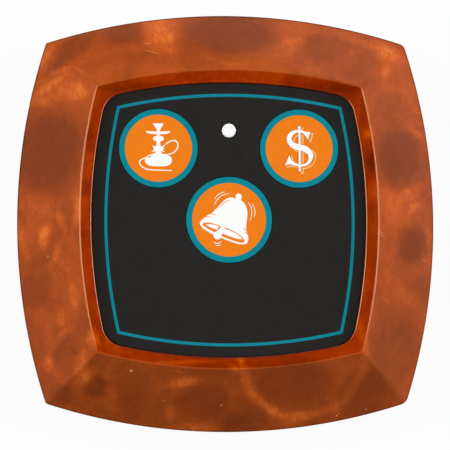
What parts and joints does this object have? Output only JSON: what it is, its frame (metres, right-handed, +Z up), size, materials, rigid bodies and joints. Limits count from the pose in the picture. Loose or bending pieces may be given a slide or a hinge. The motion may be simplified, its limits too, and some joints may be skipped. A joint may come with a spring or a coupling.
{
  "type": "waiter call button",
  "caption": "Table-top wireless call button: a square bevelled housing with bowed sides and mottled amber finish, holding a sunken black panel with round pictogram keys and an indicator LED",
  "frame": {"origin": "on the table under the middle of the housing", "axes": "+Z up out of the panel, +Y towards the edge that is far from the user, +X to the user's right"},
  "size_m": [0.085, 0.085, 0.018],
  "materials": {
    "resin": "polished, cloudy amber and brown",
    "base_plastic": "fine moulded texture",
    "foot_rubber": "matte",
    "screw_steel": "bright zinc plated",
    "plate_plastic": "moulded",
    "adhesive": "clear double-sided tape",
    "black_film": "fine satin polycarbonate film, printed from behind",
    "key_print": "orange print in a teal ring, behind satin film",
    "key_plastic": "moulded",
    "switch_plastic": "moulded",
    "stem_plastic": "moulded",
    "spring_steel": "bright",
    "board": "green solder mask on glass laminate",
    "led_lens": "white diffused",
    "tinned_lead": "tinned",
    "chip_plastic": "moulded",
    "can_steel": "drawn can",
    "antenna_strip": "tinned brass strip",
    "resistor_body": "black on white ceramic",
    "capacitor_body": "tan ceramic",
    "battery_case": "plain sleeve"
  },
  "bodies": {
    "housing": {"antenna_loop": "antenna_strip", "base_plate": "base_plastic", "base_screws": "screw_steel", "battery": "battery_case", "battery_contact_negative": "spring_steel", "battery_contact_positive": "spring_steel", "battery_spring": "spring_steel", "bill_switch_base": "switch_plastic", "bill_switch_cover": "spring_steel", "bill_switch_dome": "spring_steel", "board_screws": "screw_steel", "call_switch_base": "switch_plastic", "call_switch_cover": "spring_steel", "call_switch_dome": "spring_steel", "chip_capacitors": "capacitor_body", "chip_leads": "tinned_lead", "chip_resistors": "resistor_body", "circuit_board": "board", "encoder_chip": "chip_plastic", "film_adhesive": "adhesive", "front_plate": "plate_plastic", "hookah_switch_base": "switch_plastic", "hookah_switch_cover": "spring_steel", "hookah_switch_dome": "spring_steel", "housing_shell": "resin", "indicator_led": "led_lens", "led_leads": "tinned_lead", "led_spacer": "key_plastic", "overlay_film": "black_film", "resonator_can": "can_steel", "resonator_leads": "tinned_lead", "rf_transistor": "chip_plastic", "rubber_feet": "foot_rubber", "switch_terminals": "tinned_lead"},
    "call_key": {"call_key_face": "key_print", "call_key_cap": "key_plastic", "call_switch_stem": "stem_plastic"},
    "hookah_key": {"hookah_key_face": "key_print", "hookah_key_cap": "key_plastic", "hookah_switch_stem": "stem_plastic"},
    "bill_key": {"bill_key_face": "key_print", "bill_key_cap": "key_plastic", "bill_switch_stem": "stem_plastic"}
  },
  "joints": [
    {"name": "call_key_press", "type": "slide", "parent": "housing", "child": "call_key", "axis": [0, 0, -1], "range_m": [0, 0.0004], "stiffness_N_per_m": 3000, "springref_m": -0.0001, "deforming": ["call_switch_dome"]},
    {"name": "hookah_key_press", "type": "slide", "parent": "housing", "child": "hookah_key", "axis": [0, 0, -1], "range_m": [0, 0.0004], "stiffness_N_per_m": 3000, "springref_m": -0.0001, "deforming": ["hookah_switch_dome"]},
    {"name": "bill_key_press", "type": "slide", "parent": "housing", "child": "bill_key", "axis": [0, 0, -1], "range_m": [0, 0.0004], "stiffness_N_per_m": 3000, "springref_m": -0.0001, "deforming": ["bill_switch_dome"]}
  ]
}
